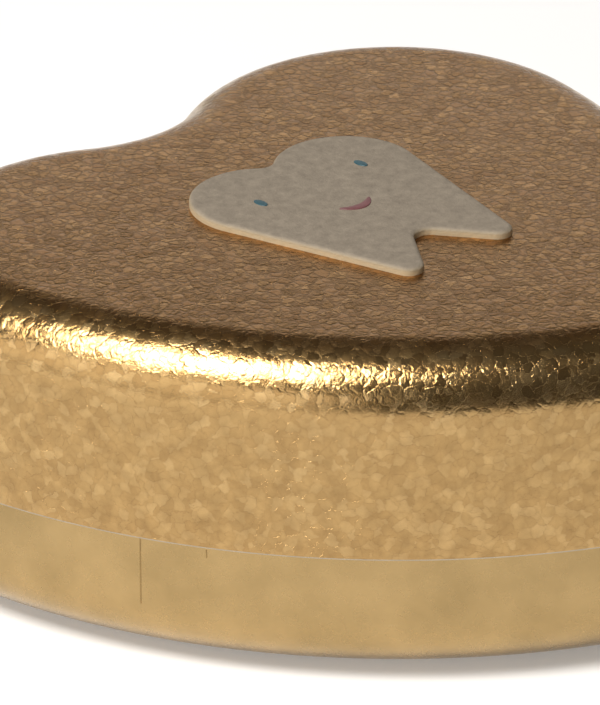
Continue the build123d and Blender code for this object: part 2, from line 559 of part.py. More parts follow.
def make_frame():
    sheet = block(PLATE_X, PLATE_Y, (PLATE_Z, PLATE_TOP))
    sheet = fillet(sheet.edges().filter_by(Axis.Z), PLATE_CORNER_R)
    sheet -= rod(0, 0, (0, BOX_HEIGHT), ARBOR_R + RUN_FIT)
    sheet -= tab_slot()
    for x, y in screw_places():
        sheet -= rod(x, y, (0, BOX_HEIGHT), SCREW_R)
    posts = frame_screw_places()
    for x, y in posts:
        sheet -= rod(x, y, (PLATE_Z, BOX_HEIGHT), SCREW_R)
    save("bedplate", sheet)
    hold = [screw(x, y, WELL_ROOF_Z, SHEET + PLATE_THICK, True) for x, y in screw_places()]
    save("movement_screws", Compound(hold))
    post_x = (CROWN_R + CROWN_FACE / 2 + 0.8, CYLINDER_X[0] - 0.5)
    post = block(post_x, (-POST_HALF, POST_HALF), (PLATE_TOP, AXIS_Z + POST_OVER))
    post = fillet(post.edges().filter_by(Axis.X).group_by(Axis.Z)[-1], FRAME_CORNER_R)
    save("cylinder_post", post - cross_rod((0, 50), 0, AXIS_Z, CYLINDER_ARBOR_R + RUN_FIT))
    stay_x = (CYLINDER_X[1] - 1.4, CYLINDER_X[1] - 0.3)
    stay = block(stay_x, (PIN_CIRCLE + 0.4, GOV_Y + 1.6), (PLATE_TOP, AXIS_Z + 1.8))
    save("governor_post", stay - cross_rod((0, 50), GOV_Y, AXIS_Z, GOV_ARBOR_R + RUN_FIT))
    along = (-4.0, GOV_Y + 3.0)
    side = block((FRAME_X, FRAME_X + FRAME_SHEET), along, (PLATE_TOP, AXIS_Z + 3.6))
    side = fillet(side.edges().filter_by(Axis.X).group_by(Axis.Z)[-1], FRAME_CORNER_R)
    foot_z = (PLATE_TOP, PLATE_TOP + FRAME_SHEET)
    side += block((FRAME_X - FRAME_FOOT, FRAME_X), along, foot_z)
    side -= cross_rod((0, 50), 0, AXIS_Z, CYLINDER_ARBOR_R + RUN_FIT)
    side -= cross_rod((0, 50), GOV_Y, AXIS_Z, GOV_ARBOR_R + RUN_FIT)
    for x, y in posts[:2]:
        side -= rod(x, y, (0, AXIS_Z - 4), SCREW_R)
    save("governor_frame", side)
    pivot_hole = rod(WORM_X, WORM_Y, (0, BOX_HEIGHT), PIVOT_R + RUN_FIT)
    bearing = rod(WORM_X, WORM_Y, (PLATE_TOP, PLATE_TOP + BEARING_HEIGHT), BEARING_R)
    save("worm_bearing", bearing - pivot_hole)
    foot_y = WORM_Y + FLY_R + 0.8
    across = (WORM_X - COCK_HALF, WORM_X + COCK_HALF)
    cock = block(across, (foot_y, foot_y + FRAME_SHEET), (PLATE_TOP, COCK_Z + COCK_SHEET))
    cock += block(across, (WORM_Y - COCK_HALF, foot_y + FRAME_SHEET), (COCK_Z, COCK_Z + COCK_SHEET))
    cock += block((WORM_X - COCK_SIDE, WORM_X + COCK_HALF), (foot_y, foot_y + COCK_FOOT), foot_z)
    cock -= pivot_hole
    x, y = posts[2]
    cock -= rod(x, y, (0, BOX_HEIGHT), SCREW_R)
    save("governor_cock", cock)
    save("frame_screws", Compound([screw(x, y, foot_z[1], PLATE_THICK + 1.0, False) for x, y in posts]))


def frame_screw_places():
    foot = FRAME_X - FRAME_FOOT / 2
    return [(foot, -1.6), (foot, 4.6), (WORM_X - 5.8, WORM_Y + FLY_R + 2.9)]


# Stop lever: pushed from the key well, it brings a pad against the brake disc.
def make_stop():
    low = PLATE_TOP + LEVER_LIFT
    high = low + LEVER_THICK
    tab = tab_place()
    pad = polar(LEVER_PIVOT, LEVER_REACH, LEVER_STOPPED - LEVER_SWING)
    bar = Sketch()
    for end in (tab, pad):
        ends = [Pos(*at) * Circle(LEVER_WIDTH / 2) for at in (LEVER_PIVOT, end)]
        bar += make_hull([*ends[0].edges(), *ends[1].edges()])
    lever = extrude(lift(bar, low), LEVER_THICK)
    lever -= rod(*LEVER_PIVOT, (0, BOX_HEIGHT), STUD_R + RUN_FIT)
    lever += rod(*pad, (high, PLATE_TOP + BRAKE_PAD_TOP), BRAKE_PAD_R)
    save("stop_lever", lever)
    save("stop_tab", rod(*tab, (KEY_Z + TAB_RISE, low), TAB_R))
    head = high + 0.1
    stud = rod(*LEVER_PIVOT, (PLATE_TOP, head), STUD_R)
    save("lever_stud", stud + rod(*LEVER_PIVOT, (head, head + STUD_HEAD), STUD_HEAD_R))


make_lid()
make_tooth()
make_base()
make_tray()
make_winder()
make_drum()
make_cylinder()
make_comb()
make_governor()
make_frame()
make_stop()
for name, shape in made.items():
    print(name, "solids", len(shape.solids()), "volume", round(shape.volume, 2))
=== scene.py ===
# %% [markdown]
# A heart-shaped musical keepsake tin, dressed for a studio render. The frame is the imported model:
# its nodes already stand in the right place, in metres, so this lesson only makes finer skins for
# the pieces that are seen and a procedural finish for every piece.

# %% Load the frame
import math

import bmesh
import bpy
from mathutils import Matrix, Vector


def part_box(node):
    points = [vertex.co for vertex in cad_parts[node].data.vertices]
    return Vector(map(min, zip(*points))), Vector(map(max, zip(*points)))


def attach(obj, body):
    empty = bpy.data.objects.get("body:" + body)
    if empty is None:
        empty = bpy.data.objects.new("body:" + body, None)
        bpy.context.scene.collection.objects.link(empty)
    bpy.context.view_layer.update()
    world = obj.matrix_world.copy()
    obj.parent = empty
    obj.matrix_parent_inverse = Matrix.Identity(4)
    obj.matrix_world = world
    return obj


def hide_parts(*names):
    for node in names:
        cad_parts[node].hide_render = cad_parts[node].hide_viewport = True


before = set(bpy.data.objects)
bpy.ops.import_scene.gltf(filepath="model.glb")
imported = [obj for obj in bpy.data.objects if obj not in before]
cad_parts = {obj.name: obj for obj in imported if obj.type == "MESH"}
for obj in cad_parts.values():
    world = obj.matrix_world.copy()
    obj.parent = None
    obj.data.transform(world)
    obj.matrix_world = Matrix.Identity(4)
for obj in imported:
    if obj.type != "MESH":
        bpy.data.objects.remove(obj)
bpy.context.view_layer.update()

# %% [markdown]
# The frame's meshes arrive selected, and an operator acts on all that is selected, so everything is
# deselected before anything is made. A few small helpers follow: one goes in and out of edit mode,
# one selects edges or faces by a test on their place.

# %% Helpers for editing
MM = 0.001


def deselect():
    if bpy.context.object and bpy.context.object.mode != "OBJECT":
        bpy.ops.object.mode_set(mode="OBJECT")
    bpy.ops.object.select_all(action="DESELECT")


def activate(piece):
    deselect()
    piece.select_set(True)
    bpy.context.view_layer.objects.active = piece


def edit(piece, mode="EDGE"):
    activate(piece)
    bpy.ops.object.mode_set(mode="EDIT")
    bpy.ops.mesh.select_mode(type=mode)
    bpy.ops.mesh.select_all(action="DESELECT")


def pick(piece, kind, test):
    """Selects in edit mode the verts, edges or faces that pass a test."""
    mesh = bmesh.from_edit_mesh(piece.data)
    for item in getattr(mesh, kind):
        item.select_set(bool(test(item)))
    mesh.select_flush_mode()
    bmesh.update_edit_mesh(piece.data)


def apply_modifier(piece, kind, **settings):
    activate(piece)
    modifier = piece.modifiers.new(kind.lower(), kind)
    for key, value in settings.items():
        setattr(modifier, key, value)
    bpy.ops.object.modifier_apply(modifier=modifier.name)


def smooth(piece, degrees=35):
    activate(piece)
    bpy.ops.object.shade_smooth_by_angle(angle=math.radians(degrees))


def in_mm(lengths):
    return [round(length / MM, 2) for length in lengths]


deselect()

# %% [markdown]
# The tin and the tooth are both drawn with arcs that run smoothly into each other. A belt round a row
# of pulleys is the same thing: a positive radius is a pulley inside the outline, a negative one presses
# in from outside. Setting the outline in by some amount takes that amount off every radius, so rings at
# different insets have the same number of points and can be joined one to one.

# %% Belt outlines


def belt(pulleys, step, inset=0.0):
    """Closed outline, clockwise, round pulleys of (x, y, signed radius)."""
    count = len(pulleys)
    headings = []
    for i, (x, y, r) in enumerate(pulleys):
        nx, ny, nr = pulleys[(i + 1) % count]
        far = math.hypot(nx - x, ny - y)
        lean = max(-1.0, min(1.0, (r - nr) / far))
        headings.append(math.atan2(ny - y, nx - x) - math.asin(lean))
    points = []
    for i, (x, y, r) in enumerate(pulleys):
        start, end = headings[i - 1], headings[i]
        turn = (start - end) % math.tau if r > 0 else -((end - start) % math.tau)
        parts = max(3, round(abs(r * turn) / step))
        for part in range(parts + 1):
            heading = start - turn * part / parts
            reach = r - inset
            points.append(Vector((x - math.sin(heading) * reach, y + math.cos(heading) * reach)))
    return points


def spaced(pulleys, step):
    """Outline maker that drops doubled points where two arcs meet, the same ones at every inset."""
    plain = belt(pulleys, step)
    wanted = [i for i, p in enumerate(plain) if (p - plain[i - 1]).length > step * 0.2]

    def outline(inset=0.0):
        points = belt(pulleys, step, inset)
        return [points[i] for i in wanted]

    return outline


print("belt round two unit pulleys", len(belt([(0.0, 0.0, 1.0), (4.0, 0.0, 1.0)], 0.5)), "points")

# %% [markdown]
# The heart: two lobe circles side by side, a cleft circle between them, two long flat side arcs whose
# centres lie across the box, and a small circle at the tip. The side arcs' centres are found where
# circles about the lobe and the tip meet.

# %% The heart's outline
LID_LOW, LID_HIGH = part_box("lid_shell")
WIDTH = LID_HIGH.x - LID_LOW.x
LOBE_X = 22.0 * MM
LOBE_R = WIDTH / 2 - LOBE_X
LOBE_Y = LID_HIGH.y - LOBE_R
CLEFT_R = 16.5 * MM
SIDE_R = 81.6 * MM
TIP_R = 12.3 * MM
TIP_Y = LID_LOW.y + TIP_R


def side_centre():
    from_lobe, from_tip = SIDE_R - LOBE_R, SIDE_R - TIP_R
    lobe, tip = Vector((LOBE_X, LOBE_Y)), Vector((0.0, TIP_Y))
    span = (tip - lobe).length
    along = (from_lobe**2 - from_tip**2 + span**2) / (2 * span)
    off = math.sqrt(from_lobe**2 - along**2)
    way = (tip - lobe) / span
    return lobe + way * along + Vector((way.y, -way.x)) * off


SIDE_C = side_centre()
CLEFT_Y = LOBE_Y + math.sqrt((LOBE_R + CLEFT_R) ** 2 - LOBE_X**2)
HEART = [
    (0.0, CLEFT_Y, -CLEFT_R),
    (LOBE_X, LOBE_Y, LOBE_R),
    (SIDE_C.x, SIDE_C.y, SIDE_R),
    (0.0, TIP_Y, TIP_R),
    (-SIDE_C.x, SIDE_C.y, SIDE_R),
    (-LOBE_X, LOBE_Y, LOBE_R),
]
heart = spaced(HEART, 0.8 * MM)
print("heart points", len(heart()))

# %% [markdown]
# A shell with a rolled shoulder is built as a person would: a filled circle is added and its points are
# drawn onto the outline, then its rim is extruded again and again, each new ring moved to its own inset
# and height. The result has clean rings that a bevel on so many corners wouldn't give.

# %% Building a piece ring by ring


def ring_shell(name, outline, profile):
    """Disc on the first (inset, height) of a profile, its rim extruded through the rest."""
    deselect()
    first = outline(profile[0][0])
    bpy.ops.mesh.primitive_circle_add(vertices=len(first), radius=WIDTH / 2, fill_type="NGON")
    piece = bpy.context.active_object
    piece.name = piece.data.name = name
    for vertex, point in zip(piece.data.vertices, first):
        vertex.co = (point.x, point.y, profile[0][1])
    edit(piece)
    bpy.ops.mesh.select_all(action="SELECT")
    for inset, height in profile[1:]:
        bpy.ops.mesh.extrude_edges_move()
        mesh = bmesh.from_edit_mesh(piece.data)
        ring = sorted((v for v in mesh.verts if v.select), key=lambda v: v.index)
        for vertex, point in zip(ring, outline(inset)):
            vertex.co = (point.x, point.y, height)
        bmesh.update_edit_mesh(piece.data)
    bpy.ops.object.mode_set(mode="OBJECT")
    return piece


def quarter(inset, height, across, down, parts=12):
    """Profile of a quarter round from flat to upright, ending at the given inset and height."""
    steps = []
    for part in range(parts + 1):
        a = math.pi / 2 * part / parts
        steps.append((inset + across * (1 - math.sin(a)), height + down * math.cos(a)))
    return steps


def outward(piece):
    """Makes all faces point out, away from the piece's inside."""
    edit(piece, "FACE")
    bpy.ops.mesh.select_all(action="SELECT")
    bpy.ops.mesh.normals_make_consistent(inside=False)
    bpy.ops.object.mode_set(mode="OBJECT")


def faces_up(piece, up=True):
    """Turns an open shell over if its widest face looks the wrong way."""
    widest = max(piece.data.polygons, key=lambda face: face.area)
    if (widest.normal.z > 0) != up:
        edit(piece, "FACE")
        bpy.ops.mesh.select_all(action="SELECT")
        bpy.ops.mesh.flip_normals()
        bpy.ops.object.mode_set(mode="OBJECT")


print("quarter round of radius 1 mm", [(round(x, 2), round(z, 2)) for x, z in quarter(0.0, 0.0, 1.0, 1.0, 3)])

# %% [markdown]
# Finishes come next. Each material is a small set of nodes on Object coordinates, scaled so that one
# unit is a millimetre. A maker function starts every one, and two more add noise and bump.

# %% Starting a material


class Finish:
    """A material under construction, with its shader and coordinates in millimetres."""

    def __init__(self, name, **sockets):
        self.material = bpy.data.materials.new(name)
        self.material.use_nodes = True
        self.tree = self.material.node_tree
        self.shader = self.tree.nodes["Principled BSDF"]
        for socket, value in sockets.items():
            self.shader.inputs[socket.replace("_", " ")].default_value = value
        self.place = self.add("ShaderNodeTexCoord").outputs["Object"]
        self.mm = self.scaled((1000, 1000, 1000))

    def add(self, kind, **settings):
        node = self.tree.nodes.new(kind)
        for key, value in settings.items():
            setattr(node, key, value)
        return node

    def wire(self, source, target):
        self.tree.links.new(source, target)

    def scaled(self, scale):
        node = self.add("ShaderNodeMapping")
        node.inputs["Scale"].default_value = scale
        self.wire(self.place, node.inputs["Vector"])
        return node.outputs["Vector"]

    def noise(self, scale, detail=3.0, place=None, roughness=0.55):
        node = self.add("ShaderNodeTexNoise")
        node.inputs["Scale"].default_value = scale
        node.inputs["Detail"].default_value = detail
        node.inputs["Roughness"].default_value = roughness
        self.wire(place or self.mm, node.inputs["Vector"])
        return node.outputs["Fac"]

    def ramp(self, source, *stops):
        """Colour ramp through (position, colour) stops."""
        node = self.add("ShaderNodeValToRGB")
        elements = node.color_ramp.elements
        while len(elements) < len(stops):
            elements.new(0.5)
        for element, (position, colour) in zip(elements, stops):
            element.position = position
            element.color = (*colour, 1.0) if len(colour) == 3 else colour
        self.wire(source, node.inputs["Fac"])
        return node.outputs["Color"]

    def range(self, source, low, high, start=0.0, end=1.0):
        node = self.add("ShaderNodeMapRange")
        for socket, value in (("From Min", start), ("From Max", end), ("To Min", low), ("To Max", high)):
            node.inputs[socket].default_value = value
        self.wire(source, node.inputs["Value"])
        return node.outputs["Result"]

    def sum(self, a, b, operation="ADD"):
        node = self.add("ShaderNodeMath", operation=operation)
        for socket, value in zip(node.inputs, (a, b)):
            if isinstance(value, (int, float)):
                socket.default_value = value
            else:
                self.wire(value, socket)
        return node.outputs["Value"]

    def mix(self, factor, a, b, blend="MIX"):
        node = self.add("ShaderNodeMix", data_type="RGBA", blend_type=blend)
        for socket, value in ((node.inputs[0], factor), (node.inputs[6], a), (node.inputs[7], b)):
            if isinstance(value, (int, float)):
                socket.default_value = value
            elif isinstance(value, tuple):
                socket.default_value = (*value, 1.0)
            else:
                self.wire(value, socket)
        return node.outputs[2]

    def bump(self, height, strength, distance):
        """Bump of a height in its own unit; distance is what one unit is worth, in metres."""
        node = self.add("ShaderNodeBump")
        node.inputs["Strength"].default_value = strength
        node.inputs["Distance"].default_value = distance
        self.wire(height, node.inputs["Height"])
        self.wire(node.outputs["Normal"], self.shader.inputs["Normal"])

    def to(self, source, socket):
        self.wire(source, self.shader.inputs[socket])


def count_nodes(*materials):
    """Says how many nodes each finish came to."""
    print({material.name: len(material.node_tree.nodes) for material in materials})


# %% [markdown]
# The lid's lacquer is crystallised: while it dries it shrinks into cells about a millimetre across,
# each a small dome that catches the light by itself. A Voronoi pattern gives the cells. Its distance
# is the dome's height, its edge distance the darker line between two cells, and its colour, which is
# one random value per cell, makes some cells paler than others. Where the sheet was drawn over the
# shoulder the lacquer is stretched: just below the flat top it lies smooth, lower down it creases, and
# on the skirt the cells are flat and hazy. The height on the tin therefore sets the relief, how dark
# the lines are and how far the cells differ in tone. The flat top is tinted warmer: a painted reflection of
# warm light.

# %% The lacquer's cells
CELL_SCALE = 0.85  # cells per millimetre
WARP_SCALE, WARP_BY = 1.1, 1.3


def crystal_cells(finish):
    """Voronoi cells on a warped place: their random colour, facet height and distance to the edge."""
    warp = finish.add("ShaderNodeTexNoise")
    warp.inputs["Scale"].default_value = WARP_SCALE
    warp.inputs["Detail"].default_value = 4.0
    finish.wire(finish.mm, warp.inputs["Vector"])
    moved = finish.add("ShaderNodeVectorMath", operation="MULTIPLY_ADD")
    finish.wire(warp.outputs["Color"], moved.inputs[0])
    moved.inputs[1].default_value = (WARP_BY, WARP_BY, WARP_BY)
    finish.wire(finish.mm, moved.inputs[2])
    place = moved.outputs["Vector"]
    cells = finish.add("ShaderNodeTexVoronoi", feature="F1")
    edges = finish.add("ShaderNodeTexVoronoi", feature="DISTANCE_TO_EDGE")
    for node in (cells, edges):
        node.inputs["Scale"].default_value = CELL_SCALE
        finish.wire(place, node.inputs["Vector"])
    # Each cell is a facet: its own random lean times the distance from its middle.
    lean = finish.add("ShaderNodeVectorMath", operation="SUBTRACT")
    finish.wire(cells.outputs["Color"], lean.inputs[0])
    lean.inputs[1].default_value = (0.5, 0.5, 0.5)
    across = finish.add("ShaderNodeVectorMath", operation="SUBTRACT")
    finish.wire(place, across.inputs[0])
    finish.wire(cells.outputs["Position"], across.inputs[1])
    facet = finish.add("ShaderNodeVectorMath", operation="DOT_PRODUCT")
    finish.wire(lean.outputs["Vector"], facet.inputs[0])
    finish.wire(across.outputs["Vector"], facet.inputs[1])
    chance = finish.add("ShaderNodeSeparateColor")
    finish.wire(cells.outputs["Color"], chance.inputs["Color"])
    return chance.outputs, facet.outputs["Value"], edges.outputs["Distance"]


print("cells are about", round(1 / CELL_SCALE, 2), "mm across")

# %% [markdown]
# The lacquer itself uses those cells three ways: their chance value picks a tone and a roughness, the
# facet and the groove between two cells make the relief, and the edge distance draws the darker line.
# How strong each one is depends on how far the place lies below the lid's top.

# %% Crystallised gold lacquer
LINE_WIDE, GROOVE_WIDE = 0.24, 0.22  # of a cell
LINE_TONE = (0.27, 0.15, 0.055)
PAINTED_WARM_REFLECTION = (0.97, 0.82, 0.72)
FACET_TALL, GROOVE_DEEP, CRINKLE_TALL = 0.11, 0.03, 0.05
SMOOTH_RELIEF, CREASED_RELIEF, FLAT_RELIEF = 0.3, 0.75, 0.45


def crackle_gold():
    finish = Finish("crystal_gold_lacquer", Metallic=1.0, Roughness=0.2, Coat_Weight=0.08, Coat_Roughness=0.15)
    chance, facet, edge = crystal_cells(finish)
    where = finish.add("ShaderNodeSeparateXYZ")
    finish.wire(finish.place, where.inputs["Vector"])

    def below(start, end, low=0.0, high=1.0):
        """Share that goes from low to high between two depths, in millimetres under the top."""
        return finish.range(where.outputs["Z"], low, high, LID_HIGH.z - start * MM, LID_HIGH.z - end * MM)

    flat, skirt_share = below(1.0, 0.2), below(7.5, 3.0, 1.0, 0.0)
    tone = finish.ramp(chance["Red"], (0.0, (0.47, 0.285, 0.110)), (0.55, (0.58, 0.375, 0.155)),
                       (1.0, (0.76, 0.52, 0.24)))
    blotch = finish.range(finish.noise(0.35, 4.0), 0.0, 0.6, 0.4, 0.7)
    tone = finish.mix(blotch, tone, (0.44, 0.265, 0.10))
    haze = finish.ramp(finish.noise(0.5, 3.0), (0.3, (0.270, 0.172, 0.072)), (0.7, (0.435, 0.282, 0.118)))
    tone = finish.mix(finish.sum(skirt_share, 0.66, "MULTIPLY"), tone, haze)
    # Painted reflection: the flat top is multiplied by a warm tint, for the warmer light it reflects.
    tone = finish.mix(flat, tone, PAINTED_WARM_REFLECTION, "MULTIPLY")
    line = finish.range(edge, 0.5, 0.0, 0.0, LINE_WIDE)
    crisp = finish.range(flat, 0.3, 1.15)
    finish.to(finish.mix(finish.sum(line, crisp, "MULTIPLY"), tone, LINE_TONE), "Base Color")
    finish.to(finish.range(chance["Green"], 0.17, 0.27), "Roughness")
    groove = finish.range(edge, 0.0, GROOVE_DEEP, 0.0, GROOVE_WIDE)
    crinkle = finish.sum(finish.noise(2.2, 5.0, None, 0.6), CRINKLE_TALL, "MULTIPLY")
    height = finish.sum(finish.sum(facet, FACET_TALL, "MULTIPLY"), finish.sum(groove, crinkle))
    shoulder = finish.sum(below(4.8, 3.4), below(1.9, 1.2, 1.0, 0.0), "MULTIPLY")
    creased = finish.range(shoulder, SMOOTH_RELIEF, CREASED_RELIEF)
    relief = finish.sum(creased, finish.sum(flat, FLAT_RELIEF, "MULTIPLY"))
    finish.bump(finish.sum(height, relief, "MULTIPLY"), 1.0, MM)
    return finish.material


CRACKLE = crackle_gold()
count_nodes(CRACKLE)

# %% [markdown]
# The base has the same gold over plain tinplate: smooth and satin, with fine scratches round the wall
# from handling and a slightly cloudy tone.

# %% Satin gold lacquer


def satin_gold():
    finish = Finish("satin_gold_lacquer", Metallic=1.0, Roughness=0.3, Coat_Weight=0.3, Coat_Roughness=0.15)
    cloud = finish.noise(0.12, 4.0)
    colour = finish.ramp(cloud, (0.3, (0.345, 0.235, 0.098)), (0.7, (0.440, 0.300, 0.130)))
    scratch_place = finish.scaled((260, 260, 6000))
    scratch = finish.noise(1.0, 5.0, scratch_place, 0.75)
    marks = finish.range(scratch, 0.0, 1.0, 0.64, 0.80)
    finish.to(finish.mix(finish.sum(marks, 0.25, "MULTIPLY"), colour, (0.72, 0.58, 0.34)), "Base Color")
    finish.to(finish.range(finish.noise(0.5, 4.0), 0.20, 0.36), "Roughness")
    waves = finish.sum(finish.noise(0.25, 2.0), 0.5, "MULTIPLY")
    relief = finish.sum(finish.sum(scratch, 0.05, "MULTIPLY"), waves)
    finish.bump(relief, 0.3, 0.0004)
    return finish.material


SATIN = satin_gold()
count_nodes(SATIN)

# %% [markdown]
# The other metals share one recipe, with their own colour, roughness and grain. The grain's scale is
# given along each axis, so a turned or ground surface can have fine lines one way.

# %% Plain metals


def metal(name, dark, light, rough, grain=(600, 600, 600), depth=0.00003, metallic=1.0):
    finish = Finish(name, Metallic=metallic, Roughness=rough)
    fine = finish.noise(1.0, 4.0, finish.scaled(grain))
    cloud = finish.noise(0.3, 2.0)
    finish.to(finish.mix(cloud, dark, light), "Base Color")
    finish.to(finish.range(fine, rough * 0.8, rough * 1.25), "Roughness")
    finish.bump(fine, 0.4, depth)
    return finish.material


RAW_TIN = metal("raw_tin_edge", (0.34, 0.29, 0.22), (0.48, 0.42, 0.33), 0.4)
ZINC = metal("cast_zinc", (0.32, 0.32, 0.33), (0.46, 0.46, 0.47), 0.5, (900, 900, 900), 0.00006)
BRASS = metal("turned_brass", (0.58, 0.39, 0.13), (0.76, 0.55, 0.22), 0.28, (300, 2500, 2500))
STEEL = metal("ground_steel", (0.45, 0.45, 0.46), (0.60, 0.60, 0.61), 0.27, (400, 3000, 3000))
BLUED = metal("blued_spring_steel", (0.05, 0.07, 0.16), (0.12, 0.15, 0.26), 0.25, (400, 400, 2500))
NICKEL = metal("nickel_plate", (0.66, 0.64, 0.60), (0.78, 0.76, 0.72), 0.16, (500, 500, 500), 0.00001)
count_nodes(RAW_TIN, ZINC, BRASS, STEEL, BLUED, NICKEL)

# %% [markdown]
# Nylon, rubber and flock are not metals. Nylon is milky and lets a little light in, rubber is dull
# with a fine pore, and flock is a short pile: a sheen on its rim and a soft uneven bump stand for the
# standing fibres.

# %% Nylon, rubber and flock


def nylon():
    finish = Finish("natural_nylon", Roughness=0.45, Subsurface_Weight=0.15, Subsurface_Scale=0.001)
    tone = finish.noise(0.6, 3.0)
    finish.to(finish.mix(tone, (0.66, 0.64, 0.56), (0.80, 0.78, 0.70)), "Base Color")
    finish.bump(finish.noise(6.0, 3.0), 0.3, 0.00003)
    return finish.material


def rubber():
    finish = Finish("matte_rubber", Roughness=0.8)
    tone = finish.noise(1.5, 4.0)
    finish.to(finish.mix(tone, (0.012, 0.012, 0.012), (0.035, 0.034, 0.033)), "Base Color")
    finish.to(finish.range(finish.noise(4.0), 0.7, 0.95), "Roughness")
    finish.bump(finish.noise(9.0, 4.0), 0.5, 0.00005)
    return finish.material


def flock():
    finish = Finish("red_flock", Roughness=0.95, Sheen_Weight=0.8, Sheen_Roughness=0.35)
    brushed = finish.noise(0.12, 3.0)
    pile = finish.noise(9.0, 5.0, None, 0.7)
    colour = finish.ramp(brushed, (0.3, (0.16, 0.008, 0.016)), (0.7, (0.30, 0.020, 0.035)))
    finish.to(finish.mix(finish.range(pile, 0.0, 0.5, 0.35, 0.75), colour, (0.42, 0.05, 0.07)), "Base Color")
    finish.bump(pile, 0.9, 0.00025)
    return finish.material


NYLON, RUBBER, FLOCK = nylon(), rubber(), flock()
count_nodes(NYLON, RUBBER, FLOCK)

# %% [markdown]
# The tooth is cast and left matt, like unglazed china. Its face is a greyish cream, mottled, with
# small pits; towards the rounded rim a paler, warmer colour is painted on for the light the rim catches.
# This painted light follows the height: the face is the top, the rim falls away below it.

# %% Bisque and enamel
TOP = LID_HIGH.z
TOOTH_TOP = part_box("tooth_ornament")[1].z


def bisque():
    finish = Finish("matt_bisque", Roughness=0.72)
    mottle = finish.noise(0.7, 6.0, None, 0.7)
    face = finish.ramp(mottle, (0.25, (0.180, 0.149, 0.112)), (0.75, (0.300, 0.252, 0.192)))
    split = finish.add("ShaderNodeSeparateXYZ")
    finish.wire(finish.place, split.inputs["Vector"])
    # Painted highlight: below the face the colour is mixed towards pale cream, for the light on the rim.
    painted_rim_light = finish.range(split.outputs["Z"], 1.0, 0.0, TOP + 0.45 * MM, TOOTH_TOP - 0.06 * MM)
    finish.to(finish.mix(painted_rim_light, face, (0.46, 0.38, 0.25)), "Base Color")
    finish.to(finish.range(finish.noise(1.4), 0.62, 0.82), "Roughness")
    pits = finish.sum(finish.noise(2.2, 5.0, None, 0.6), finish.sum(mottle, 1.2, "MULTIPLY"))
    finish.bump(pits, 0.5, 0.00018)
    return finish.material


def enamel(name, dark, light):
    finish = Finish(name, Roughness=0.38)
    finish.to(finish.mix(finish.noise(1.6, 4.0), dark, light), "Base Color")
    finish.bump(finish.noise(2.5, 3.0), 0.4, 0.00006)
    return finish.material


BISQUE = bisque()
TEAL = enamel("teal_enamel", (0.014, 0.055, 0.075), (0.05, 0.115, 0.135))
DUSTY_RED = enamel("dusty_red_enamel", (0.12, 0.042, 0.043), (0.21, 0.080, 0.084))
count_nodes(BISQUE, TEAL, DUSTY_RED)

# %% [markdown]
# The frame's own pieces that keep their shape now get their finishes, one list for each.

# %% Finishes for the frame's pieces
FINISHES = {
    ZINC: "bedplate comb_base governor_frame cylinder_post governor_post",
    BRASS: "cylinder_barrel drive_pinion cylinder_wheel governor_pinion crown_wheel drum_cover "
    "spring_drum worm_bearing brake_disc governor_cock",
    STEEL: "winding_arbor cylinder_arbor governor_arbor worm worm_thread comb cylinder_pins "
    "lever_stud stop_lever",
    BLUED: "mainspring clutch_spring arbor_clip",
    NICKEL: "key_bow key_stem movement_screws comb_screws frame_screws",
    NYLON: "worm_wheel fly_hub fly_wings stop_tab",
    RUBBER: "foot_pads",
    FLOCK: "keepsake_tray",
    CRACKLE: "lid_shell",
    SATIN: "base_shell",
    BISQUE: "tooth_ornament",
    TEAL: "tooth_eyes",
    DUSTY_RED: "tooth_mouth",
}


def dress(piece, *materials):
    piece.data.materials.clear()
    for material in materials:
        piece.data.materials.append(material)


for material, names in FINISHES.items():
    for name in names.split():
        dress(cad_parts[name], material)
undressed = set(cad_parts) - {n for names in FINISHES.values() for n in names.split()}
print("nodes without a finish:", sorted(undressed))

# %% [markdown]
# The lid is one drawn sheet: a flat top, a wide rolled shoulder and a straight skirt. It is built from
# the top outward with the ring method, and a Solidify modifier gives the sheet its thickness inward.
# Three finishes go on it: lacquer outside, plain gold inside, bare tin on the cut edge.

# %% Lid skin
SHEET = 0.5 * MM
SHOULDER = 7.8 * MM
lid_profile = quarter(0.0, TOP - SHOULDER, SHOULDER, SHOULDER, 18)
EDGE = 1.3 * MM
skirt = TOP - SHOULDER - LID_LOW.z - EDGE
WALL_RINGS = 6
lid_profile += [(0.0, TOP - SHOULDER - skirt * k / WALL_RINGS) for k in range(1, WALL_RINGS + 1)]
TURNED_IN = ((0.04, 0.85), (0.10, 0.4), (0.16, 0.18), (0.24, 0.0))  # inset and height of the edge
lid_profile += [(inset * MM, LID_LOW.z + height * MM) for inset, height in TURNED_IN]
lid = ring_shell("lid_skin", heart, lid_profile)
faces_up(lid)
dress(lid, CRACKLE, SATIN, RAW_TIN)
BARE_EDGE = 0.19 * MM
for face in lid.data.polygons:
    if face.center.z < LID_LOW.z + BARE_EDGE:
        face.material_index = 2
apply_modifier(lid, "SOLIDIFY", thickness=SHEET, offset=-1.0, use_even_offset=True,
               material_offset=1, material_offset_rim=2)
smooth(lid)
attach(lid, "lid")
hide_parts("lid_shell")
print("lid box", in_mm(lid.dimensions), "faces", len(lid.data.polygons))

# %% [markdown]
# The base is a second drawn sheet, with its round edge at the bottom. The same ring method makes the
# pan from the underside up, and a Boolean opens its floor for the key well. The round edge is what
# stands the tin off the table by a shadow line, so it gets close rings.

# %% Base pan
BASE_LOW, BASE_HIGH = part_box("base_shell")
BASE_IN = 0.8 * MM
BASE_ROLL = 7.2 * MM
ARBOR_LOW, ARBOR_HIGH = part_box("winding_arbor")
WELL_X, WELL_Y = (ARBOR_LOW.x + ARBOR_HIGH.x) / 2, (ARBOR_LOW.y + ARBOR_HIGH.y) / 2
WELL_R = 21.0 * MM


def cut(piece, cutter):
    """Takes one piece's shape out of another and clears it away."""
    apply_modifier(piece, "BOOLEAN", operation="DIFFERENCE", solver="EXACT", object=cutter)
    bpy.data.objects.remove(cutter)


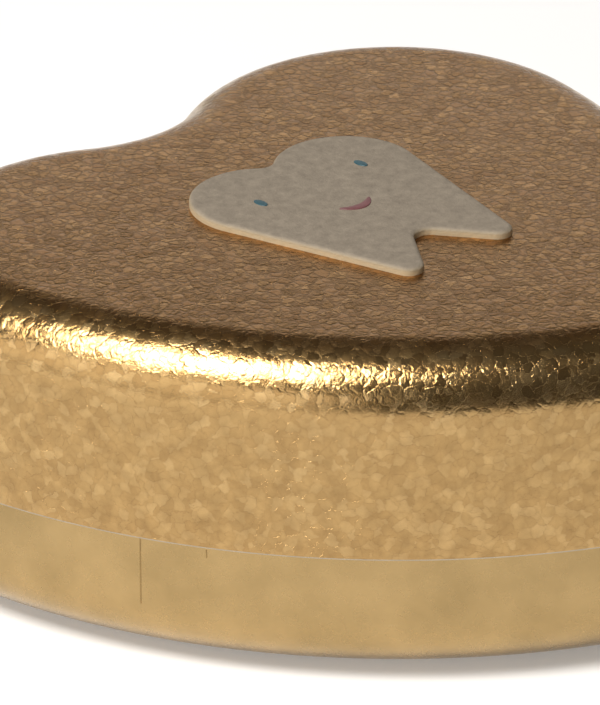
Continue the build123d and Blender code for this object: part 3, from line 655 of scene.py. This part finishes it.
def rod(x, y, low, high, radius, sides=96):
    """Upright cylinder between two heights, with its place in its mesh."""
    deselect()
    bpy.ops.mesh.primitive_cylinder_add(
        vertices=sides, radius=radius, depth=high - low, location=(x, y, (low + high) / 2))
    bpy.ops.object.transform_apply(location=True, rotation=False, scale=False)
    return bpy.context.active_object


base_profile = quarter(BASE_IN, BASE_LOW.z + BASE_ROLL, BASE_ROLL, -BASE_ROLL, 18)
wall = BASE_HIGH.z - BASE_LOW.z - BASE_ROLL
base_profile += [(BASE_IN, BASE_LOW.z + BASE_ROLL + wall * k / WALL_RINGS) for k in range(1, WALL_RINGS + 1)]
base = ring_shell("base_skin", heart, base_profile)
faces_up(base, up=False)
dress(base, SATIN, SATIN, RAW_TIN)
apply_modifier(base, "SOLIDIFY", thickness=SHEET, offset=-1.0, use_even_offset=True,
               material_offset=1, material_offset_rim=2)
cut(base, rod(WELL_X, WELL_Y, 0.0, BASE_LOW.z + 2 * SHEET, WELL_R + SHEET))
print("base faces", len(base.data.polygons))

# %% [markdown]
# The key well is a shallow cup let into the floor. A cylinder without its lower cap is the cup, its
# upper edge bevelled as a drawn corner is, with holes for the arbor and for the stop lever's tab.

# %% Key well
ROOF_Z = 9.0 * MM
ARBOR_HOLE_R, TAB_HOLE_R = 2.2 * MM, 1.35 * MM
TAB_SWING = Vector((0.35, -1.44)) * MM
TAB_STEPS = 5
well = rod(WELL_X, WELL_Y, BASE_LOW.z, ROOF_Z + SHEET, WELL_R + SHEET, 160)
edit(well, "FACE")
pick(well, "faces", lambda f: f.normal.z < -0.9)
bpy.ops.mesh.delete(type="FACE")
bpy.ops.object.mode_set(mode="OBJECT")
edit(well, "EDGE")
pick(well, "edges", lambda e: all(v.co.z > ROOF_Z for v in e.verts))
bpy.ops.mesh.bevel(offset=0.9 * MM, segments=5)
bpy.ops.object.mode_set(mode="OBJECT")
dress(well, SATIN, SATIN, RAW_TIN)
apply_modifier(well, "SOLIDIFY", thickness=SHEET, offset=-1.0, use_even_offset=True,
               material_offset=1, material_offset_rim=2)
cut(well, rod(WELL_X, WELL_Y, ROOF_Z - MM, ROOF_Z + MM, ARBOR_HOLE_R))
TAB_LOW, TAB_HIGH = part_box("stop_tab")
TAB_X, TAB_Y = (TAB_LOW.x + TAB_HIGH.x) / 2, (TAB_LOW.y + TAB_HIGH.y) / 2
for step in range(TAB_STEPS):
    reach = TAB_SWING * step / (TAB_STEPS - 1)
    cut(well, rod(TAB_X + reach.x, TAB_Y + reach.y, ROOF_Z - MM, ROOF_Z + MM, TAB_HOLE_R, 48))
activate(base)
well.select_set(True)
bpy.ops.object.join()
smooth(base)
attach(base, "box")
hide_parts("base_shell")
print("base with well: faces", len(base.data.polygons), "box", in_mm(base.dimensions))

# %% [markdown]
# The wall is one strip bent round and lapped, which leaves a hairline edge from rim to underside, with
# a short nick beside it. A thin bar is placed against the wall's curve, turned to face out of it, and
# its edges are bevelled so that it catches light like a folded edge.

# %% Lap seam
SEAM_FACING = math.radians(24.4)
NICK_FACING = math.radians(30.1)
SEAM_WIDE, SEAM_PROUD = 0.16 * MM, 0.035 * MM
# The seam's dark tone is partly a darker joint and partly painted shade for the lap's hairline gap; the nick
# uses it too.
SEAM_SHADE_TONE = metal("seam_edge_and_shade", (0.26, 0.17, 0.07), (0.38, 0.26, 0.115), 0.35)


def upright_bar(name, facing, low, high):
    """Thin bar lying on the left side wall where its curve faces a given way."""
    reach = SIDE_R - BASE_IN + SEAM_PROUD / 2
    out = Vector((-math.cos(facing), -math.sin(facing)))
    spot = Vector((-SIDE_C.x, SIDE_C.y)) + out * reach
    deselect()
    bpy.ops.mesh.primitive_cube_add(size=1.0, location=(spot.x, spot.y, (low + high) / 2),
                                    rotation=(0, 0, facing))
    bar = bpy.context.active_object
    bar.name = bar.data.name = name
    bar.scale = (SEAM_PROUD * 2, SEAM_WIDE, high - low)
    bpy.ops.object.transform_apply(location=True, rotation=True, scale=True)
    apply_modifier(bar, "BEVEL", width=SEAM_PROUD * 0.6, segments=2)
    dress(bar, SEAM_SHADE_TONE)
    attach(bar, "box")
    return bar


seam = upright_bar("lap_seam", SEAM_FACING, BASE_LOW.z + BASE_ROLL * 0.98, BASE_HIGH.z - MM)
NICK_LOW, NICK_HIGH = 15.3 * MM, 16.3 * MM
nick = upright_bar("wall_nick", NICK_FACING, NICK_LOW, NICK_HIGH)
print("seam box", in_mm(seam.dimensions), "nick", in_mm(nick.dimensions))

# %% [markdown]
# The tray is moulded card with a flocked face. It is one closed shell drawn as a profile: up from the
# middle of its floor round a soft corner, over a rounded lip that hangs on the base's rim, and back
# down outside. The floor's corner and the lip are rounded; the step below the lip and the foot are square.

# %% Keepsake tray
TRAY_LOW, TRAY_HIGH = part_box("keepsake_tray")
TRAY_SIDE = 1.4 * MM
TRAY_INSIDE = TRAY_SIDE + 0.8 * MM
TRAY_FLOOR = TRAY_LOW.z + 0.8 * MM
LIP_SIDE = 0.95 * MM
LIP_LOW = TRAY_HIGH.z - 0.6 * MM
LIP_ROUND = 0.28 * MM
CORNER_R = 1.5 * MM
floor_curve = [(TRAY_INSIDE + CORNER_R * (1 - math.sin(a)), TRAY_FLOOR + CORNER_R * (1 - math.cos(a)))
               for a in (math.pi / 2 * k / 8 for k in range(9))]
lip_curve = [(TRAY_INSIDE, TRAY_HIGH.z - LIP_ROUND),
             (TRAY_INSIDE - LIP_ROUND * 0.3, TRAY_HIGH.z - LIP_ROUND * 0.3),
             (TRAY_INSIDE - LIP_ROUND, TRAY_HIGH.z), (LIP_SIDE + LIP_ROUND, TRAY_HIGH.z),
             (LIP_SIDE + LIP_ROUND * 0.3, TRAY_HIGH.z - LIP_ROUND * 0.3), (LIP_SIDE, TRAY_HIGH.z - LIP_ROUND)]
tray_profile = floor_curve + lip_curve + [(LIP_SIDE, LIP_LOW), (TRAY_SIDE, LIP_LOW), (TRAY_SIDE, TRAY_LOW.z)]
tray = ring_shell("flocked_tray", heart, tray_profile)
edit(tray, "EDGE")
pick(tray, "edges", lambda e: e.is_boundary)
bpy.ops.mesh.edge_face_add()
bpy.ops.object.mode_set(mode="OBJECT")
outward(tray)
smooth(tray, 40)
dress(tray, FLOCK)
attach(tray, "box")
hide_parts("keepsake_tray")
print("tray box", in_mm(tray.dimensions))

# %% [markdown]
# The tooth has a belt outline too: two crown lobes, two roots, and two small pulleys pressing in for
# the notches. Its edge is pillowed, flat on the face and steep at the lid.

# %% Tooth ornament
TOOTH_LOW, TOOTH_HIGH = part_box("tooth_ornament")
TOOTH_X = (TOOTH_LOW.x + TOOTH_HIGH.x) / 2
LOBE = (6.8 * MM, LOBE_Y - 7.2 * MM, 8.7 * MM)
ROOT = (7.25 * MM, LOBE_Y - 31.85 * MM, 1.8 * MM)
NOTCH_R = 2.0 * MM
FORK_Y = LOBE_Y - 28.3 * MM
crown_notch_y = LOBE[1] + math.sqrt((LOBE[2] + NOTCH_R) ** 2 - LOBE[0] ** 2)
half_tooth = [LOBE, ROOT]
TOOTH = [(0.0, crown_notch_y, -NOTCH_R), *half_tooth, (0.0, FORK_Y, -NOTCH_R)]
TOOTH += [(-x, y, r) for x, y, r in reversed(half_tooth)]
TOOTH = [(x + TOOTH_X, y, r) for x, y, r in TOOTH]
tooth_outline = spaced(TOOTH, 0.35 * MM)
THICK = TOOTH_TOP - TOP
FACE_IN, FACE_DOME = 1.4 * MM, 0.01 * MM
tooth_profile = [(FACE_IN, TOOTH_TOP)]
tooth_profile += quarter(0.0, TOP + 0.55 * THICK, 0.6 * MM, 0.45 * THICK - FACE_DOME, 10)
tooth_profile += [(0.0, TOP)]
tooth = ring_shell("tooth_relief", tooth_outline, tooth_profile)
faces_up(tooth)
edit(tooth, "EDGE")
pick(tooth, "edges", lambda e: e.is_boundary)
bpy.ops.mesh.edge_face_add()
bpy.ops.object.mode_set(mode="OBJECT")
outward(tooth)
smooth(tooth, 50)
dress(tooth, BISQUE)
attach(tooth, "lid")
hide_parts("tooth_ornament")
print("tooth box", in_mm(tooth.dimensions))

# %% [markdown]
# The face is three dabs of enamel, each a low dome with a soft edge.

# %% Eyes and mouth
DAB = 0.11 * MM


def dab(name, outline):
    piece = ring_shell(name, outline, [(0.15 * MM, TOOTH_TOP + DAB), (0.05 * MM, TOOTH_TOP + DAB * 0.85),
                                       (0.0, TOOTH_TOP + DAB * 0.3), (0.0, TOOTH_TOP - 0.02 * MM)])
    faces_up(piece)
    edit(piece, "EDGE")
    pick(piece, "edges", lambda e: e.is_boundary)
    bpy.ops.mesh.edge_face_add()
    bpy.ops.object.mode_set(mode="OBJECT")
    outward(piece)
    smooth(piece, 60)
    return piece


def oval(x, y, across, tall):
    def outline(inset=0.0):
        steps = [math.tau * k / 40 for k in range(40)]
        return [Vector((x + (across - inset) * math.cos(a), y + (tall - inset) * math.sin(a))) for a in steps]

    return outline


def smile(x, y, half, dip, full):
    """Crescent: its upper line dips a little, the lower one more."""

    def outline(inset=0.0):
        points = []
        for k in range(48):
            a = math.tau * k / 48
            along, rise = math.cos(a), math.sin(a)
            reach = half - inset
            thick = (full / 2 - inset) * rise + 0.15 * MM * rise
            points.append(Vector((x + along * reach, y - (dip + full / 2) * (1 - along**2) + thick)))
        return points

    return outline


EYE_X, EYE_Y = 8.2 * MM, LOBE_Y - 8.25 * MM
SMILE_X, SMILE_Y = TOOTH_X - 0.3 * MM, LOBE_Y - 15.9 * MM
for side, label in ((-1, "left"), (1, "right")):
    eye = dab("tooth_eye_" + label, oval(TOOTH_X + side * EYE_X, EYE_Y, 0.55 * MM, 1.05 * MM))
    dress(eye, TEAL)
    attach(eye, "lid")
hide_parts("tooth_eyes")
mouth = dab("tooth_smile", smile(SMILE_X, SMILE_Y, 2.45 * MM, 0.7 * MM, 0.9 * MM))
dress(mouth, DUSTY_RED)
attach(mouth, "lid")
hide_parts("tooth_mouth")

# %% [markdown]
# The stage: a wide pale floor that glows a little, as a light table does, a large soft
# light overhead and to the left, a very weak fill, a low card behind for the flat top to reflect, one
# to the left for the lower shoulder, and a dim surround, because a rolled metal edge needs something
# dark to reflect as well.

# %% Floor, light and surround
deselect()
bpy.ops.mesh.primitive_plane_add(size=6.0, location=(0, 0, 0))
floor = bpy.context.active_object
floor.name = "floor"
paper = Finish("pale_paper", Roughness=0.9)
WHITENESS, GLOW = 0.86, 0.22
paper.shader.inputs["Base Color"].default_value = (WHITENESS, WHITENESS, WHITENESS, 1.0)
paper.shader.inputs["Emission Color"].default_value = (1.0, 1.0, 1.0, 1.0)
paper.shader.inputs["Emission Strength"].default_value = GLOW
dress(floor, paper.material)


def softbox(name, place, aim, size, watts, colour=(1.0, 0.97, 0.93)):
    deselect()
    bpy.ops.object.light_add(type="AREA", location=place)
    lamp = bpy.context.active_object
    lamp.name = name
    lamp.data.shape = "RECTANGLE"
    lamp.data.size, lamp.data.size_y = size
    lamp.data.energy = watts
    lamp.data.color = colour
    lamp.rotation_euler = (Vector(aim) - Vector(place)).to_track_quat("-Z", "Y").to_euler()
    return lamp


middle = Vector((0.0, 0.0, 0.02))
softbox("key_light", (-0.575, -0.01, 0.90), middle, (0.54, 0.46), 13.0)
softbox("fill_light", (0.7, -0.9, 1.1), middle, (0.5, 0.5), 0.8)
softbox("low_card", (-1.3, 0.02, 0.42), middle, (2.1, 0.72), 6.6)
softbox("back_card", (1.05, 1.10, 0.52), middle, (2.6, 0.78), 3.4, (1.0, 0.97, 0.92))

world = bpy.data.worlds.new("surround")
bpy.context.scene.world = world
world.use_nodes = True
world.node_tree.nodes["Background"].inputs["Color"].default_value = (1.0, 0.97, 0.94, 1.0)
world.node_tree.nodes["Background"].inputs["Strength"].default_value = 0.08
bpy.context.scene.view_settings.view_transform = "Standard"

# %% [markdown]
# The camera looks over the front left with a long lens, nearly level lines staying nearly parallel.

# %% Camera
AIM = Vector((26.9, 40.4, 1.0)) * MM
DISTANCE = 0.8865
AZIMUTH, ELEVATION = math.radians(-44.0), math.radians(25.6)
deselect()
bpy.ops.object.camera_add()
camera = bpy.context.active_object
level = DISTANCE * math.cos(ELEVATION)
away = Vector((math.sin(AZIMUTH) * level, -math.cos(AZIMUTH) * level, DISTANCE * math.sin(ELEVATION)))
camera.location = AIM + away
camera.rotation_euler = (-away).to_track_quat("-Z", "Y").to_euler()
SENSOR, LENS, FAR = 36.0, 360.5, 20.0
camera.data.sensor_width = SENSOR
camera.data.lens = LENS
camera.data.clip_end = FAR
bpy.context.scene.camera = camera
print("camera at", [round(v, 3) for v in camera.location])
